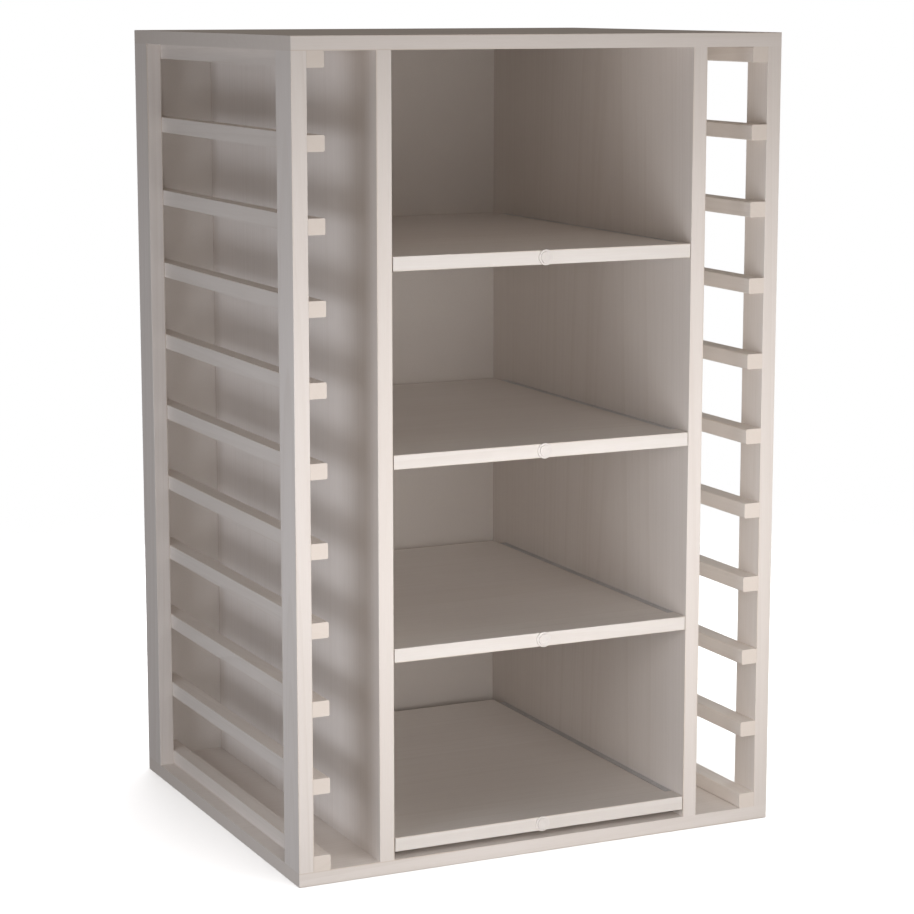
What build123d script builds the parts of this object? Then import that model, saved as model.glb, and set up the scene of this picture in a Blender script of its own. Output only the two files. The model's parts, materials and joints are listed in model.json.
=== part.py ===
from build123d import *
import os

# Wine rack in white-washed pine: two open side frames of posts and rails hold
# bottles, and four trays on ball-bearing slides carry crates in the middle.
# Millimetres. +Z is up, the front faces -Y, and the origin is the centre of
# the underside.

# Case
WIDTH, DEPTH, HEIGHT = 680.0, 580.0, 1050.0
PANEL = 18.0  # top and bottom panels, and the trays
BACK = 3.0  # hardboard back
BACK_INSET = 1.0  # the back stops this far inside the case's outline
POST_X, POST_Y = 20.0, 50.0
DIVIDER = 20.0
BOTTLE_BAY = 90.0  # clear width between a post and a divider
EDGE_R = 0.5  # eased edges

FRONT, REAR = -DEPTH / 2, DEPTH / 2 - BACK
INNER_LOW, INNER_HIGH = PANEL, HEIGHT - PANEL
POST_IN = WIDTH / 2 - POST_X  # inner face of the posts, from the middle
DIVIDER_OUT = POST_IN - BOTTLE_BAY
DIVIDER_IN = DIVIDER_OUT - DIVIDER
POST_ROWS = {"front": FRONT + POST_Y / 2, "rear": REAR - POST_Y / 2}
SIDES = {"left": -1, "right": 1}

# Bottle rails
RAIL_COUNT = 11
RAIL_X, RAIL_Z = 22.5, 20.0
RAIL_R = 2.0
RAIL_PITCH = (INNER_HIGH - INNER_LOW - RAIL_Z) / (RAIL_COUNT - 1)

# Trays
TRAY_UNDERSIDES = (765.0, 519.5, 274.0, 28.5)
TRAY_LENGTH = 552.0
TRAY_SIDE_GAP = 1.25
TRAY_LIP = 29.0  # full-width front strip that hides the slides
KNOB_D, KNOB_FACE_D, KNOB_HEIGHT, KNOB_RIM = 20.0, 15.2, 3.4, 1.8
KNOB_R, KNOB_DISH_D, KNOB_DISH = 0.7, 8.0, 0.3
STUD_D, STUD_IN_KNOB, STUD_LENGTH = 4.0, 2.2, 24.0

# Slides, drawn from the divider's face (0) to the tray's edge (SLIDE_WIDTH)
SLIDE_WIDTH, SLIDE_HEIGHT = 11.0, 17.0
SHEET = 1.2
SLIDE_START = FRONT + TRAY_LIP + 3.0
RUNNER_LENGTH = 500.0
CABINET_LENGTH = 502.0
REACH = 8.0  # cabinet member's flanges
LIP_END, LIP_DROP = 9.2, 2.3
RUNNER_TIP, RUNNER_HALF = 2.9, 4.0
RUNNER_LIP_X, RUNNER_LIP_Z = 4.1, 4.9
STOP = 2.0  # stop tabs at the members' ends
STOP_HALF = 2.4
CAGE_WEB = (1.7, 2.3)
CAGE_TIP, CAGE_LOW, CAGE_HIGH = 7.5, 5.35, 5.95
CAGE_START, CAGE_LENGTH = -80.5, 145.0
BALL_D, BALL_X, BALL_PITCH, BALLS = 2.7, 6.0, 26.0, 6

# Fixings
FIT = 0.05  # radial room around dowels, screws and nails
END_ROOM = 0.5
DOWEL_D, RAIL_DOWEL, CASE_DOWEL = 8.0, 24.0, 30.0
CASE_DOWEL_IN_PANEL = 12.0
FIXING_SHIFT = 13.0  # post dowels and screws stand clear of the rail dowels
DIVIDER_FIXING_YS = (-240.0, 0.0, 240.0)
CASE_SCREW = dict(head_d=9.0, head_h=2.6, shank_d=4.5, length=48.0)
CASE_SCREW_SUNK = 0.6
SLIDE_SCREW = dict(head_d=4.8, head_h=1.1, shank_d=2.4, length=13.0)
SLIDE_SCREW_YS = (-225.0, -30.0, 205.0)
CROSS_WIDTH, CROSS_SHARE, CROSS_DEPTH = 1.1, 0.55, 1.6
NAIL = dict(head_d=3.6, head_h=0.6, shank_d=1.6, length=18.0)
NAIL_ZS = (60.0, 246.0, 432.0, 618.0, 804.0, 990.0)
NAIL_XS = (-280.0, -140.0, 0.0, 140.0, 280.0)

nodes = {}


def block(x0, x1, y0, y1, z0, z1):
    """A box between two corners."""
    size = (x1 - x0, y1 - y0, z1 - z0)
    return Pos((x0 + x1) / 2, (y0 + y1) / 2, (z0 + z1) / 2) * Box(*size)


def turned(profile, start, direction):
    """A round piece with the given (radius, distance) profile along direction."""
    solid = revolve(Plane.XZ * make_face(Polyline(*profile, close=True)), Axis.Z)
    return Plane(origin=start, z_dir=direction) * solid


def rod(start, direction, diameter, length):
    """A round bar from start along direction."""
    r = diameter / 2
    return turned([(0, 0), (r, 0), (r, length), (0, length)], start, direction)


def screw(start, direction, head_d, head_h, shank_d, length):
    """A countersunk wood screw with its head's face at start."""
    tip = shank_d
    profile = [(0, 0), (head_d / 2, 0), (shank_d / 2, head_h), (shank_d / 2, length - tip), (0, length)]
    return turned(profile, start, direction)


def screw_bore(start, direction, head_d, head_h, shank_d, length):
    """The hole that a screw of that size sits in."""
    head, shank, deep = head_d / 2 + FIT, shank_d / 2 + FIT, length + END_ROOM
    profile = [(0, -END_ROOM), (head, -END_ROOM), (head, 0), (shank, head_h), (shank, deep), (0, deep)]
    return turned(profile, start, direction)


def nail(start, direction, head_d, head_h, shank_d, length, room=0.0):
    """A flat-headed nail, or with room the hole that it sits in."""
    head, shank = head_d / 2 + room, shank_d / 2 + room
    deep = length + (END_ROOM if room else 0)
    profile = [(0, 0), (head, 0), (head, head_h), (shank, head_h), (shank, deep), (0, deep)]
    return turned(profile, start, direction)


def eased(solid, radius, axis, keep=lambda edge: True):
    """solid with its edges along axis rounded, where keep says so."""
    return fillet([e for e in solid.edges().filter_by(axis) if keep(e)], radius)


def rail_z(number):
    """The underside of a rail, counted from 1 at the top."""
    return INNER_HIGH - RAIL_Z - (number - 1) * RAIL_PITCH


def post_fixings():
    """(side, row, x, y) of the dowel and screw in each post's ends."""
    for side, sign in SIDES.items():
        for row, y in POST_ROWS.items():
            outward = -FIXING_SHIFT if row == "front" else FIXING_SHIFT
            yield side, row, sign * (POST_IN + POST_X / 2), y + outward


def divider_fixings(sign):
    """(x, y) of the dowels and screws in a divider's ends."""
    return [(sign * (DIVIDER_IN + DIVIDER / 2), y) for y in DIVIDER_FIXING_YS]


def end_fixings():
    """(x, y) of every upright's dowels and screws."""
    posts = [(x, y) for _, _, x, y in post_fixings()]
    return posts + divider_fixings(-1) + divider_fixings(1)


def top_dowel(x, y, room=0.0):
    """A dowel between an upright and the top panel, or its hole."""
    low = INNER_HIGH - (CASE_DOWEL - CASE_DOWEL_IN_PANEL) - (END_ROOM if room else 0)
    length = CASE_DOWEL + (2 * END_ROOM if room else 0)
    return rod((x, y, low), (0, 0, 1), DOWEL_D + 2 * room, length)


def rail_dowel(sign, y, number, room=0.0):
    """A dowel between a rail and a post, or its hole."""
    length = RAIL_DOWEL + (2 * END_ROOM if room else 0)
    start = (sign * (POST_IN + length / 2), y, rail_z(number) + RAIL_Z / 2)
    return rod(start, (-sign, 0, 0), DOWEL_D + 2 * room, length)


def case_screw(x, y, make=screw):
    """A screw up through the bottom panel, or its hole."""
    return make((x, y, CASE_SCREW_SUNK), (0, 0, 1), **CASE_SCREW)


def crossed(solid, x, y):
    """A case screw with its driving cross."""
    long = CASE_SCREW["head_d"] * CROSS_SHARE
    for size in ((long, CROSS_WIDTH), (CROSS_WIDTH, long)):
        solid -= Pos(x, y, CASE_SCREW_SUNK) * Box(*size, 2 * CROSS_DEPTH)
    return solid


def back_nails(room=0.0):
    """The nails through the back into the case, or their holes."""
    uprights = [s * (DIVIDER_IN + DIVIDER / 2) for s in (-1, 1)]
    uprights += [s * (POST_IN + POST_X / 2) for s in (-1, 1)]
    places = [(x, z) for x in uprights for z in NAIL_ZS]
    places += [(x, z) for x in NAIL_XS for z in (PANEL / 2, HEIGHT - PANEL / 2)]
    return [nail((x, REAR + BACK, z), (0, -1, 0), **NAIL, room=room) for x, z in places]


def slide_screw(sign, from_middle, y, z, outward, make=screw):
    """A slide's screw into a divider (outward 1) or a tray (outward -1)."""
    return make((sign * from_middle, y, z), (sign * outward, 0, 0), **SLIDE_SCREW)


def cut(solid, tools):
    """solid less the tools that touch its box, so that far ones cost nothing."""
    box = solid.bounding_box()
    near = [t for t in tools if box.overlaps(t.bounding_box())]
    return solid - near if near else solid


def section(points, length, start):
    """An extrusion along Y of a closed (distance from divider, height) outline."""
    face = make_face(Polyline(*points, close=True))
    return Pos(0, start, 0) * extrude(Plane.XZ * face, -length)


def cabinet_member():
    """Slide member for the left divider's face, as seen from x = 0."""
    half = SLIDE_HEIGHT / 2
    inner = half - SHEET
    upper = [
        (0, half), (LIP_END, half), (LIP_END, half - LIP_DROP),
        (REACH, half - LIP_DROP), (REACH, inner), (SHEET, inner),
    ]
    outline = upper + [(x, -z) for x, z in reversed(upper)]
    member = section(outline, CABINET_LENGTH, SLIDE_START)
    end = SLIDE_START + CABINET_LENGTH
    member += block(SHEET, CAGE_WEB[1] + 0.3, SLIDE_START, SLIDE_START + STOP, -STOP_HALF, STOP_HALF)
    return member + block(SHEET, REACH, end - 1.5, end, -RUNNER_HALF, RUNNER_HALF)


def runner():
    """Slide member for a tray's left edge, as seen from x = 0."""
    inner = RUNNER_HALF - SHEET
    upper = [
        (SLIDE_WIDTH, RUNNER_HALF), (RUNNER_LIP_X, RUNNER_HALF), (RUNNER_LIP_X, RUNNER_LIP_Z),
        (RUNNER_TIP, RUNNER_LIP_Z), (RUNNER_TIP, inner), (SLIDE_WIDTH - SHEET, inner),
    ]
    outline = upper + [(x, -z) for x, z in reversed(upper)]
    member = section(outline, RUNNER_LENGTH, SLIDE_START)
    end = SLIDE_START + RUNNER_LENGTH
    return member + block(SHEET + 0.4, SLIDE_WIDTH - SHEET, end - STOP, end, -STOP_HALF, STOP_HALF)


def ball_cage():
    """Cage with its captive balls, as seen from x = 0."""
    low, high = CAGE_WEB
    upper = [(low, CAGE_HIGH), (CAGE_TIP, CAGE_HIGH), (CAGE_TIP, CAGE_LOW), (high, CAGE_LOW)]
    outline = upper + [(x, -z) for x, z in reversed(upper)]
    cage = section(outline, CAGE_LENGTH, CAGE_START)
    middle = CAGE_START + CAGE_LENGTH / 2
    for i in range(BALLS):
        y = middle + (i - (BALLS - 1) / 2) * BALL_PITCH
        for z in ((CAGE_LOW + CAGE_HIGH) / 2, -(CAGE_LOW + CAGE_HIGH) / 2):
            cage += Pos(BALL_X, y, z) * Sphere(BALL_D / 2)
    return cage


def pair(shape, z):
    """The left and right copies of a slide piece at height z."""
    left = Pos(-DIVIDER_IN, 0, z) * shape
    return [left, mirror(left, Plane.YZ)]


# Panels
holes = [top_dowel(x, y, FIT) for x, y in end_fixings()]
holes += [case_screw(x, y, screw_bore) for x, y in end_fixings()]
nail_holes = back_nails(FIT)
for name, low in (("bottom_panel", 0.0), ("top_panel", INNER_HIGH)):
    panel = block(-WIDTH / 2, WIDTH / 2, FRONT, REAR, low, low + PANEL)
    outer_z = 0.0 if low == 0.0 else HEIGHT
    panel = eased(panel, EDGE_R, Axis.Z)
    rim = [e for e in panel.edges() if abs(e.center().Z - outer_z) < EDGE_R / 2]
    panel = fillet(rim, EDGE_R)
    nodes[name] = [cut(panel, holes + nail_holes)]

back = block(
    BACK_INSET - WIDTH / 2, WIDTH / 2 - BACK_INSET, REAR, REAR + BACK, BACK_INSET, HEIGHT - BACK_INSET
)
nodes["back_panel"] = [cut(back, nail_holes)]

# Uprights
for side, sign in SIDES.items():
    screws = [
        slide_screw(sign, DIVIDER_IN - SHEET, y, low + PANEL / 2, 1, screw_bore)
        for low in TRAY_UNDERSIDES for y in SLIDE_SCREW_YS
    ]
    xs = sorted((sign * DIVIDER_IN, sign * DIVIDER_OUT))
    divider = eased(block(*xs, FRONT, REAR, INNER_LOW, INNER_HIGH), EDGE_R, Axis.Z)
    nodes[f"{side}_divider"] = [cut(divider, holes + nail_holes + screws)]

dowel_holes = {
    side: [rail_dowel(sign, y, n, FIT) for y in POST_ROWS.values() for n in range(1, RAIL_COUNT + 1)]
    for side, sign in SIDES.items()
}
for side, row, x, _ in post_fixings():
    middle = POST_ROWS[row]
    post = block(
        x - POST_X / 2, x + POST_X / 2, middle - POST_Y / 2, middle + POST_Y / 2, INNER_LOW, INNER_HIGH
    )
    post = eased(post, EDGE_R, Axis.Z)
    nodes[f"{row}_{side}_post"] = [cut(post, holes + nail_holes + dowel_holes[side])]

# Rails
for side, sign in SIDES.items():
    xs = sorted((sign * POST_IN, sign * (POST_IN - RAIL_X)))
    for number in range(1, RAIL_COUNT + 1):
        low = rail_z(number)
        rail = block(*xs, FRONT, REAR, low, low + RAIL_Z)
        rail = eased(rail, RAIL_R, Axis.Y, lambda e: abs(e.center().X) < POST_IN - RAIL_X / 2)
        nodes[f"{side}_rail_{number:02d}"] = [cut(rail, dowel_holes[side])]

# Trays and their slides
knob_profile = [
    (0, 0), (KNOB_D / 2, 0), (KNOB_D / 2, KNOB_RIM), (KNOB_FACE_D / 2, KNOB_RIM),
    (KNOB_FACE_D / 2, KNOB_HEIGHT), (KNOB_DISH_D / 2, KNOB_HEIGHT),
    (KNOB_DISH_D / 2 - KNOB_DISH, KNOB_HEIGHT - KNOB_DISH), (0, KNOB_HEIGHT - KNOB_DISH),
]
slide_screws = []
for number, low in enumerate(TRAY_UNDERSIDES, 1):
    z = low + PANEL / 2
    wide, narrow = DIVIDER_IN - TRAY_SIDE_GAP, DIVIDER_IN - SLIDE_WIDTH
    board = block(-wide, wide, FRONT, FRONT + TRAY_LIP, low, low + PANEL)
    board += block(-narrow, narrow, FRONT + TRAY_LIP, FRONT + TRAY_LENGTH, low, low + PANEL)
    board = eased(board, EDGE_R, Axis.X, lambda e: e.center().Y < FRONT + EDGE_R)
    stud = rod((0, FRONT - STUD_IN_KNOB, z), (0, 1, 0), STUD_D, STUD_LENGTH)
    stud_hole = rod(
        (0, FRONT - STUD_IN_KNOB - FIT, z), (0, 1, 0), STUD_D + 2 * FIT, STUD_LENGTH + END_ROOM
    )
    in_tray = [
        (sign, DIVIDER_IN - SLIDE_WIDTH + SHEET, y, z, -1) for sign in (-1, 1) for y in SLIDE_SCREW_YS
    ]
    in_case = [(sign, DIVIDER_IN - SHEET, y, z, 1) for sign in (-1, 1) for y in SLIDE_SCREW_YS]
    tray_bores = [slide_screw(*place, screw_bore) for place in in_tray]
    case_bores = [slide_screw(*place, screw_bore) for place in in_case]

    knob = turned(knob_profile, (0, FRONT, z), (0, -1, 0))
    round_edges = [
        e for e in knob.edges().filter_by(GeomType.CIRCLE)
        if (e.radius > KNOB_FACE_D / 2 - FIT and e.center().Y < FRONT - KNOB_RIM + FIT)
    ]
    outer = [
        e for e in round_edges
        if abs(e.center().Y - (FRONT - KNOB_HEIGHT)) < FIT or abs(e.radius - KNOB_D / 2) < FIT
    ]
    nodes[f"tray_{number}_knob"] = [fillet(outer, KNOB_R) - stud_hole]
    nodes[f"tray_{number}_board"] = [cut(board, tray_bores + [stud_hole])]
    nodes[f"tray_{number}_runners"] = [cut(r, tray_bores) for r in pair(runner(), z)]
    nodes[f"tray_{number}_fixings"] = [slide_screw(*place) for place in in_tray] + [stud]
    nodes[f"tray_{number}_ball_cages"] = pair(ball_cage(), z)
    nodes[f"cabinet_slides_{number}"] = [cut(m, case_bores) for m in pair(cabinet_member(), z)]
    slide_screws += [slide_screw(*place) for place in in_case]

# Fixings of the case
nodes["slide_screws"] = slide_screws
nodes["case_screws"] = [crossed(case_screw(x, y), x, y) for x, y in end_fixings()]
nodes["case_dowels"] = [top_dowel(x, y) for x, y in end_fixings()]
nodes["rail_dowels"] = [
    rail_dowel(sign, y, n)
    for sign in SIDES.values() for y in POST_ROWS.values() for n in range(1, RAIL_COUNT + 1)
]
nodes["back_panel_nails"] = back_nails()

os.makedirs("parts", exist_ok=True)
for name, solids in nodes.items():
    whole = [solid for piece in solids for solid in piece.solids()]
    export_step(whole[0] if len(whole) == 1 else Compound(children=whole), f"parts/{name}.step")
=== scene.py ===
import json
import math

import bpy
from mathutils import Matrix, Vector


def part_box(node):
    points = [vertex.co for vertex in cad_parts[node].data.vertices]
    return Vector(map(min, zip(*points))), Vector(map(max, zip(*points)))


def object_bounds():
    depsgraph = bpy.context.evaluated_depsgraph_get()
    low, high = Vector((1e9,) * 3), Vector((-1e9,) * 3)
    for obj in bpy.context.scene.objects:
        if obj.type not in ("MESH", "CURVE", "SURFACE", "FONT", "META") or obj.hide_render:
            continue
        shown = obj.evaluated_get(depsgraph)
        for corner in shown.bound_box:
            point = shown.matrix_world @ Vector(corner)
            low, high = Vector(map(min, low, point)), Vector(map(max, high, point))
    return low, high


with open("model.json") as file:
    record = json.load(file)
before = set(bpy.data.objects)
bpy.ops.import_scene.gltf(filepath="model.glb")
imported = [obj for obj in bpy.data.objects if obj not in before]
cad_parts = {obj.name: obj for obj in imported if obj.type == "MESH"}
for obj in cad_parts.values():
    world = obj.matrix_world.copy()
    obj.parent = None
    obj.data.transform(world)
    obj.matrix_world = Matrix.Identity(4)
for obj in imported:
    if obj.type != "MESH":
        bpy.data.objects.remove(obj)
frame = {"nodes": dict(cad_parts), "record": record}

CAD_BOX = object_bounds()
HEIGHT = CAD_BOX[1].z
SLOT_OF = {s["node"]: s["material_slot"] for s in frame["record"]["subparts"]}
CASE_NODES = frame["record"]["behaviour"]["bodies"]["case"]

X, Y, Z = Vector((1, 0, 0)), Vector((0, 1, 0)), Vector((0, 0, 1))
ONES = (1.0, 1.0, 1.0)
WHITE = (1.0, 1.0, 1.0)

# Wood. Lengths are in metres, and scales are in features per metre.
SQUEEZE = 0.035  # lengths along the grain count this much, so one noise serves faces and ends
STAVE = 0.082  # width of the strips that the wide boards are glued up from
STAVE_SHIFT = (0.11, 0.09, 0.10)  # how far apart in the tree two staves may be cut
RING, RING_SWAY = 0.0062, 0.026  # distance between growth rings, and how far they wander
RING_SPREAD = 5.0  # rings by which fast and slow years run ahead of the mean
LATE_FROM, LATE_TO = (0.35, 0.92), (1.0, 0.93)  # dark late wood sets in and ends over these parts of a ring
FAINTEST_RING = 0.25
SWAY, YEARS, FIBRE, PORE, BRUSH, CLOUD, WEAR = 9.0, 0.23, 620.0, 1500.0, 170.0, 3.4, 48.0
KNOT_CELLS, KNOT_EDGE, KNOT_ROUGHNESS = 6.5, 60.0, 0.02
KNOT_RARITY = (0.66, 0.68)  # the share of cells without a knot, with a soft limit
KNOT_SIZE = (0.062, 0.03)
KNOT_SQUEEZE, KNOT_ROUND = 0.6, 0.4  # how far knots follow the grain's squeeze, and how far they stay round
PORE_DEPTH = (0.62, 0.78)  # the peaks of the noise that are pores
END_FACING = (0.7, 0.9)  # how nearly a surface has to face along the grain to be end grain
WORN = (0.0022, 0.0004)  # an edge is worn this close to it, most at the second distance
WORN_PATCHES = (0.42, 0.62)
MIDRANGE = (0.3, 0.7)  # where nearly all of a noise's values lie

# How much of each feature shows through the paint
SHOWS = {"late": 0.30, "fibre": 0.16, "pores": 0.20, "cloud": 0.20, "stave": 0.16,
         "knot": 0.34, "end": 0.55, "worn": 0.42}
KNOT_TINT, WORN_TINT = (0.80, 0.70, 0.60), (0.90, 0.82, 0.72)

# The heart of each piece's tree lies outside it, in a direction and at a distance of its own
GOLDEN = 0.618034
HEART, HEART_SPREAD = 0.06, 0.05


class Graph:
    """A material and short calls that add nodes to it."""

    def __init__(self, name):
        self.material = bpy.data.materials.new(name)
        self.material.use_nodes = True
        self.nodes = self.material.node_tree.nodes
        self.links = self.material.node_tree.links
        self.shader = self.nodes["Principled BSDF"]

    def set(self, socket, value):
        """Gives a socket a constant or another node's output."""
        if isinstance(value, bpy.types.NodeSocket):
            self.links.new(value, socket)
        elif hasattr(socket.default_value, "__len__") and hasattr(value, "__len__"):
            wanted = len(socket.default_value)
            socket.default_value = (tuple(value) + (1.0,))[:wanted]
        else:
            socket.default_value = value

    def add(self, kind, inputs=(), **attributes):
        """A node with its attributes and its inputs, by name or number, set."""
        node = self.nodes.new(kind)
        for name, value in attributes.items():
            setattr(node, name, value)
        for key, value in dict(inputs).items():
            self.set(node.inputs[key], value)
        return node

    def math(self, operation, a, b=0.0, c=0.0):
        return self.add("ShaderNodeMath", {0: a, 1: b, 2: c}, operation=operation).outputs[0]

    def vector(self, operation, a, b=(0, 0, 0), c=(0, 0, 0)):
        made = self.add("ShaderNodeVectorMath", {0: a, 1: b, 2: c}, operation=operation)
        return made.outputs["Value" if operation in ("LENGTH", "DOT_PRODUCT") else "Vector"]

    def noise(self, vector, scale, detail=2.0, roughness=0.5):
        inputs = {"Vector": vector, "Scale": scale, "Detail": detail, "Roughness": roughness}
        return self.add("ShaderNodeTexNoise", inputs).outputs["Fac"]

    def fit(self, value, low, high, out_low=0.0, out_high=1.0, smooth=True):
        """value from low..high to out_low..out_high, held at the ends."""
        kind = "SMOOTHSTEP" if smooth else "LINEAR"
        inputs = {"Value": value, "From Min": low, "From Max": high, "To Min": out_low, "To Max": out_high}
        return self.add("ShaderNodeMapRange", inputs, interpolation_type=kind).outputs[0]

    def mix(self, factor, a, b):
        """A blend of two colours."""
        made = self.add("ShaderNodeMix", data_type="RGBA")
        for socket, value in zip([s for s in made.inputs if s.enabled], (factor, a, b)):
            self.set(socket, value)
        return next(s for s in made.outputs if s.enabled)

    def own(self, name):
        """A vector that each object holds as its own property."""
        return self.add("ShaderNodeAttribute", attribute_type="OBJECT", attribute_name=name).outputs["Vector"]

    def place(self):
        return self.add("ShaderNodeTexCoord").outputs["Object"]

    def bump(self, height, strength, distance, below=None):
        inputs = {"Height": height, "Strength": strength, "Distance": distance}
        node = self.add("ShaderNodeBump", inputs)
        if below is not None:
            self.set(node.inputs["Normal"], below)
        return node.outputs["Normal"]

    def finish(self, **inputs):
        for name, value in inputs.items():
            self.set(self.shader.inputs[name.replace("_", " ")], value)
        return self.material


def darker(colour, factors):
    return tuple(c * k for c, k in zip(colour, factors))


def around_edges(g, place, wood):
    """How worn a point is: only near one of the board's long edges, and in patches."""
    inset = g.vector("ABSOLUTE", g.vector("SUBTRACT", place, g.own("centre")))
    inset = g.vector("SUBTRACT", g.own("half_size"), inset)
    part = g.add("ShaderNodeSeparateXYZ", {0: g.vector("ADD", inset, g.own("grain_far"))}).outputs
    low = g.math("MINIMUM", g.math("MINIMUM", part[0], part[1]), part[2])
    high = g.math("MAXIMUM", g.math("MAXIMUM", part[0], part[1]), part[2])
    total = g.math("ADD", g.math("ADD", part[0], part[1]), part[2])
    middle = g.math("SUBTRACT", g.math("SUBTRACT", total, low), high)
    patches = g.fit(g.noise(wood, WEAR, 3.0, 0.6), *WORN_PATCHES)
    return g.math("MULTIPLY", g.fit(middle, *WORN), patches)


def painted_pine(name, paint, shade, end_tint, roughness):
    """White-washed pine: the wood shows faintly through thin paint, and long edges are rubbed."""
    g = Graph(name)
    place = g.place()
    scale, offset, across = g.own("grain_scale"), g.own("grain_offset"), g.own("stave_axis")

    # Each glued-up stave has its own piece of tree, and its own tone
    stave = g.math("FLOOR", g.math("DIVIDE", g.vector("DOT_PRODUCT", place, across), STAVE))
    stave = g.add("ShaderNodeCombineXYZ", {0: stave, 1: stave, 2: stave}).outputs[0]
    seed = g.vector("MULTIPLY_ADD", across, stave, offset)
    chance = g.add("ShaderNodeTexWhiteNoise", {"Vector": seed}, noise_dimensions="3D")
    shift = g.vector("MULTIPLY", chance.outputs["Color"], STAVE_SHIFT)
    wood = g.vector("ADD", g.vector("MULTIPLY_ADD", place, scale, offset), shift)

    # Growth rings round a heart outside the board, each with its own width and strength
    sway = g.math("MULTIPLY", g.noise(wood, SWAY, 3.0, 0.55), RING_SWAY)
    reach = g.math("DIVIDE", g.math("ADD", g.vector("LENGTH", wood), sway), RING)
    growth = {"W": reach, "Scale": YEARS, "Detail": 2.0}
    growth = g.add("ShaderNodeTexNoise", growth, noise_dimensions="1D").outputs["Fac"]
    count = g.math("MULTIPLY_ADD", growth, RING_SPREAD, reach)
    year = g.add("ShaderNodeTexWhiteNoise", {"W": g.math("FLOOR", count)}, noise_dimensions="1D")
    ring = g.math("FRACT", count)
    late = g.math("MULTIPLY", g.fit(ring, *LATE_FROM), g.fit(ring, *LATE_TO))
    strength = g.fit(year.outputs["Value"], 0.0, 1.0, FAINTEST_RING, 1.0, smooth=False)
    late = g.math("MULTIPLY", late, strength)
    fibre = g.noise(wood, FIBRE, 3.0, 0.6)
    pores = g.fit(g.noise(wood, PORE, 1.0), *PORE_DEPTH)
    brush = g.noise(wood, BRUSH, 2.0, 0.55)
    cloud = g.noise(place, CLOUD)

    # Small knots, few and far between
    stretch = g.vector("MULTIPLY_ADD", scale, (KNOT_SQUEEZE,) * 3, (KNOT_ROUND,) * 3)
    knot_place = g.vector("MULTIPLY_ADD", place, stretch, offset)
    cells = g.add("ShaderNodeTexVoronoi", {"Vector": knot_place, "Scale": KNOT_CELLS})
    rare = g.fit(g.vector("DOT_PRODUCT", cells.outputs["Color"], X), *KNOT_RARITY)
    uneven = g.math("MULTIPLY", g.noise(knot_place, KNOT_EDGE), KNOT_ROUGHNESS)
    knot = g.fit(g.math("ADD", cells.outputs["Distance"], uneven), *KNOT_SIZE)
    knot = g.math("MULTIPLY", knot, rare)

    # End grain drinks more paint and stays warmer
    facing = g.add("ShaderNodeNewGeometry").outputs["Normal"]
    along = g.vector("ABSOLUTE", g.vector("MULTIPLY", facing, g.vector("SUBTRACT", ONES, scale)))
    end = g.fit(g.vector("DOT_PRODUCT", along, ONES), *END_FACING)
    rub = around_edges(g, place, wood)

    colour = g.mix(g.math("MULTIPLY", late, SHOWS["late"]), paint, shade)
    colour = g.mix(g.fit(fibre, 0.3, 0.75, 0.0, SHOWS["fibre"]), colour, shade)
    colour = g.mix(g.math("MULTIPLY", pores, SHOWS["pores"]), colour, shade)
    colour = g.mix(g.fit(cloud, *MIDRANGE, 0.0, SHOWS["cloud"]), colour, shade)
    colour = g.mix(g.math("MULTIPLY", chance.outputs["Value"], SHOWS["stave"]), colour, shade)
    colour = g.mix(g.math("MULTIPLY", knot, SHOWS["knot"]), colour, darker(shade, KNOT_TINT))
    colour = g.mix(g.math("MULTIPLY", end, SHOWS["end"]), colour, end_tint)
    colour = g.mix(g.math("MULTIPLY", rub, SHOWS["worn"]), colour, darker(shade, WORN_TINT))

    rough = g.math("MULTIPLY_ADD", late, -0.05, roughness)
    rough = g.math("ADD", g.fit(brush, *MIDRANGE, -0.06, 0.07), rough)
    rough = g.math("ADD", rough, g.math("MULTIPLY", end, 0.12))
    relief = g.math("ADD", g.math("MULTIPLY", late, 0.55), g.math("MULTIPLY", fibre, 0.5))
    normal = g.bump(brush, 0.10, 0.0005, g.bump(relief, 0.22, 0.0004))
    return g.finish(Base_Color=colour, Roughness=rough, Normal=normal)


def painted_board(name, paint, shade, roughness):
    """Painted hardboard: a felted surface under thin paint."""
    g = Graph(name)
    place = g.place()
    felt = g.noise(place, 900.0, 3.0, 0.65)
    cloud = g.noise(place, 4.0, 3.0, 0.55)
    roll = g.noise(g.vector("MULTIPLY", place, (1.0, 1.0, 0.25)), 60.0)
    colour = g.mix(g.fit(cloud, *MIDRANGE, 0.0, 0.45), paint, shade)
    colour = g.mix(g.fit(felt, 0.35, 0.75, 0.0, 0.30), colour, shade)
    rough = g.fit(roll, *MIDRANGE, roughness - 0.06, roughness + 0.08)
    return g.finish(Base_Color=colour, Roughness=rough, Normal=g.bump(felt, 0.15, 0.0003))


def lacquered(name, paint, shade, roughness):
    """A turned knob under several coats of satin lacquer."""
    g = Graph(name)
    place = g.place()
    cloud = g.noise(place, 90.0, 3.0)
    peel = g.noise(place, 900.0, 1.0)
    colour = g.mix(g.fit(cloud, *MIDRANGE, 0.0, 0.5), paint, shade)
    rough = g.fit(cloud, *MIDRANGE, roughness - 0.05, roughness + 0.07)
    return g.finish(Base_Color=colour, Roughness=rough, Normal=g.bump(peel, 0.05, 0.0002))


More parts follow.
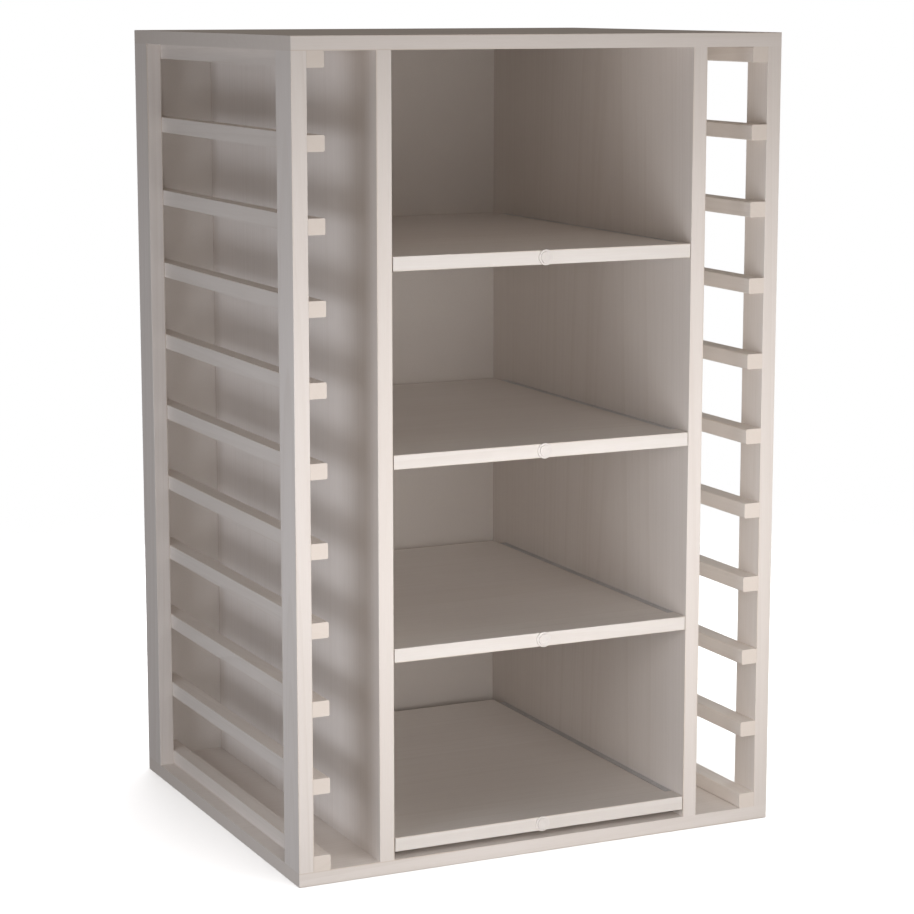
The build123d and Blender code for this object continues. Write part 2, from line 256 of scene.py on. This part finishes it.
def rolled_steel(name, pale, dark, roughness, streak=(1.0, 0.02, 1.0)):
    """Zinc-plated steel: long rolling streaks, a faint spangle and small scuffs."""
    g = Graph(name)
    place = g.place()
    streaks = g.noise(g.vector("MULTIPLY", place, streak), 900.0, 3.0, 0.6)
    cells = g.add("ShaderNodeTexVoronoi", {"Vector": place, "Scale": 260.0})
    spangle = g.vector("DOT_PRODUCT", cells.outputs["Color"], (0.4, 0.3, 0.3))
    scuff = g.fit(g.noise(place, 140.0, 4.0, 0.7), 0.58, 0.72)
    colour = g.mix(spangle, pale, dark)
    colour = g.mix(g.math("MULTIPLY", scuff, 0.25), colour, darker(dark, (0.6, 0.6, 0.6)))
    rough = g.fit(streaks, *MIDRANGE, roughness - 0.08, roughness + 0.10)
    rough = g.math("ADD", rough, g.math("MULTIPLY", scuff, 0.12))
    return g.finish(Base_Color=colour, Metallic=1.0, Roughness=rough, Normal=g.bump(streaks, 0.08, 0.0002))


def plain_beech(name, pale, dark):
    """Bare beech dowel rod, with its short flecks."""
    g = Graph(name)
    place = g.place()
    fleck = g.noise(place, 700.0, 3.0, 0.6)
    colour = g.mix(g.fit(fleck, 0.35, 0.7), pale, dark)
    rough = g.fit(g.noise(place, 30.0), *MIDRANGE, 0.55, 0.7)
    return g.finish(Base_Color=colour, Roughness=rough, Normal=g.bump(fleck, 0.1, 0.0003))


PAINT, SHADE = (0.80, 0.748, 0.706), (0.66, 0.592, 0.532)
TRAY_PAINT, TRAY_SHADE = (0.83, 0.785, 0.745), (0.69, 0.625, 0.57)
WOODS = {
    "case_pine": painted_pine("case_pine", PAINT, SHADE, (0.70, 0.63, 0.565), 0.55),
    "rail_pine": painted_pine("rail_pine", (0.80, 0.742, 0.69), SHADE, (0.74, 0.655, 0.575), 0.57),
    "tray_pine": painted_pine("tray_pine", TRAY_PAINT, TRAY_SHADE, (0.72, 0.65, 0.59), 0.50),
}
MATERIALS = {
    **WOODS,
    "back_board": painted_board("back_board", (0.72, 0.672, 0.628), (0.62, 0.565, 0.515), 0.62),
    "knob_white": lacquered("knob_white", (0.80, 0.755, 0.72), (0.75, 0.70, 0.66), 0.34),
    "slide_steel": rolled_steel("slide_steel", (0.70, 0.71, 0.72), (0.58, 0.59, 0.61), 0.34),
    "cage_steel": rolled_steel("cage_steel", (0.62, 0.61, 0.58), (0.50, 0.49, 0.47), 0.30),
    "zinc_fixings": rolled_steel("zinc_fixings", (0.74, 0.75, 0.77), (0.62, 0.63, 0.66), 0.30, ONES),
    "beech_dowels": plain_beech("beech_dowels", (0.66, 0.49, 0.32), (0.55, 0.38, 0.23)),
}


def grain_of(node):
    """(grain axis, axis across the staves or None) of a wooden piece.

    The grain runs up the uprights, along the rails and across the panels and trays.
    """
    if "divider" in node:
        return Z, Y
    if "post" in node:
        return Z, None
    if "rail" in node:
        return Y, None
    return X, Y


for number, (node, piece) in enumerate(sorted(frame["nodes"].items())):
    piece.data.materials.clear()
    piece.data.materials.append(MATERIALS[SLOT_OF[node]])
    if SLOT_OF[node] not in WOODS:
        continue
    grain, across = grain_of(node)
    low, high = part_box(node)
    centre = (low + high) / 2
    scale = Vector(ONES) - grain * (1 - SQUEEZE)
    angle = math.tau * GOLDEN * number
    heart = Vector((math.cos(angle), math.sin(angle), math.cos(2 * angle)))
    heart *= HEART + HEART_SPREAD * math.sin(5 * angle)
    piece["grain_scale"] = tuple(scale)
    piece["grain_offset"] = tuple(heart - Vector(c * s for c, s in zip(centre, scale)))
    piece["grain_far"] = tuple(grain)
    piece["stave_axis"] = tuple(across) if across else (0.0, 0.0, 0.0)
    piece["centre"] = tuple(centre)
    piece["half_size"] = tuple((high - low) / 2)

# Stage: a pale floor under its own overhead light, and the rack between soft lights at mid-height
FLOOR_SIZE, FLOOR_Z = 30.0, -0.0003
FLOOR_FADE = (0.9, 2.2)  # the floor fades out between these distances from the middle
CEILING = Vector((0.0, 0.0, 4.0))
OVERHEAD_SIZE = (5.0, 5.0)
LOW_FRONT = Vector((0.03, 0.0, 0.41))  # where the front lights aim
MIDDLE = Vector((0.0, 0.0, HEIGHT / 2))
FILLS = {
    "left_fill": ((-1.6, -0.52, 0.42), (0.0, 0.0, 0.44), (1.1, 0.8), 9.7, (0.87, 0.915, 1.0)),
    "right_fill": ((1.8, 0.0, 0.5), MIDDLE, (1.2, 1.0), 17.0, (0.91, 0.96, 1.0)),
    "back_fill": ((0.2, 1.8, 0.5), MIDDLE, (1.2, 1.0), 16.0, (0.95, 0.97, 1.0)),
    "top_fill": (CEILING, (0.0, 0.0, 0.0), OVERHEAD_SIZE, 26.0, (1.0, 0.98, 0.95)),
}
AMBIENT, AMBIENT_STRENGTH = (1.0, 0.84, 0.72, 1.0), 0.098


def pale_floor():
    """A pale floor that fades into the pale surroundings."""
    g = Graph("stage_floor")
    place = g.place()
    mottle = g.fit(g.noise(place, 2.0), *MIDRANGE, 0.0, 0.1)
    g.finish(Base_Color=g.mix(mottle, (0.86, 0.855, 0.85), (0.82, 0.815, 0.81)), Roughness=0.8)
    fade = g.fit(g.vector("LENGTH", place), *FLOOR_FADE)
    clear = g.add("ShaderNodeBsdfTransparent").outputs[0]
    blend = g.add("ShaderNodeMixShader", {0: fade, 1: g.shader.outputs[0], 2: clear})
    g.set(g.nodes["Material Output"].inputs["Surface"], blend.outputs[0])
    return g.material


def floor_plane():
    """The floor, which lights nothing and shades nothing."""
    mesh = bpy.data.meshes.new("stage_floor")
    s = FLOOR_SIZE / 2
    corners = [(x, y, FLOOR_Z) for x, y in ((-s, -s), (s, -s), (s, s), (-s, s))]
    mesh.from_pydata(corners, [], [(0, 1, 2, 3)])
    mesh.materials.append(pale_floor())
    made = bpy.data.objects.new("stage_floor", mesh)
    bpy.context.scene.collection.objects.link(made)
    made.visible_diffuse = made.visible_glossy = made.visible_shadow = False
    return made


def soft_light(name, place, aim, size, watts, colour, spread=math.pi):
    light = bpy.data.lights.new(name, "AREA")
    light.shape, light.size, light.size_y = "RECTANGLE", *size
    light.energy, light.color, light.spread = watts, colour, spread
    made = bpy.data.objects.new(name, light)
    made.location = place
    made.rotation_mode = "QUATERNION"
    made.rotation_quaternion = (Vector(aim) - Vector(place)).to_track_quat("-Z", "Y")
    made.visible_camera = False
    bpy.context.scene.collection.objects.link(made)
    return made


def light_only(light, pieces):
    """Keeps a light to these pieces."""
    lit = bpy.data.collections.new(f"{light.name}_lit")
    for piece in pieces:
        lit.objects.link(piece)
    light.light_linking.receiver_collection = lit


floor = floor_plane()
overhead = soft_light("overhead", CEILING, (0.0, 0.0, 0.0), OVERHEAD_SIZE, 330.0, WHITE)
light_only(overhead, [floor])

case = [piece for node, piece in frame["nodes"].items() if node in CASE_NODES]
trays = [piece for node, piece in frame["nodes"].items() if node not in CASE_NODES]
key = soft_light("key", LOW_FRONT - Y, LOW_FRONT, (1.25, 1.0), 8.9, (1.0, 0.98, 0.98))
light_only(key, case + [floor])

# The trays have a key with a grid, further off, so that their fronts stay as bright when they come nearer
GRID = math.radians(60)
tray_key = soft_light("tray_key", LOW_FRONT - 2 * Y, LOW_FRONT, (1.6, 1.2), 6.5, (1.0, 0.99, 0.99), GRID)
light_only(tray_key, trays)
for name, settings in FILLS.items():
    soft_light(name, *settings)

# The surroundings look white, and give a little warm light from all round
world = bpy.data.worlds.new("studio")
world.use_nodes = True
bpy.context.scene.world = world
tree = world.node_tree
seen, around = tree.nodes["Background"], tree.nodes.new("ShaderNodeBackground")
seen.inputs["Color"].default_value = (*WHITE, 1.0)
around.inputs["Color"].default_value = AMBIENT
around.inputs["Strength"].default_value = AMBIENT_STRENGTH
path, either = tree.nodes.new("ShaderNodeLightPath"), tree.nodes.new("ShaderNodeMixShader")
tree.links.new(path.outputs["Is Camera Ray"], either.inputs[0])
tree.links.new(around.outputs[0], either.inputs[1])
tree.links.new(seen.outputs[0], either.inputs[2])
tree.links.new(either.outputs[0], tree.nodes["World Output"].inputs["Surface"])
bpy.context.scene.view_settings.view_transform = "Standard"

# Camera: in front and to the left, a little above the top, looking down at the middle
EYE = (-1.517, -3.241, 1.0954)
LENS, SENSOR = 104.6, 36.0
DOWN, TURN = 0.1717, -0.4414
camera = bpy.data.cameras.new("camera")
camera.lens = LENS
camera.sensor_width = SENSOR
eye = bpy.data.objects.new("camera", camera)
eye.location = EYE
eye.rotation_euler = (math.pi / 2 - DOWN, 0.0, TURN)
bpy.context.scene.collection.objects.link(eye)
bpy.context.scene.camera = eye
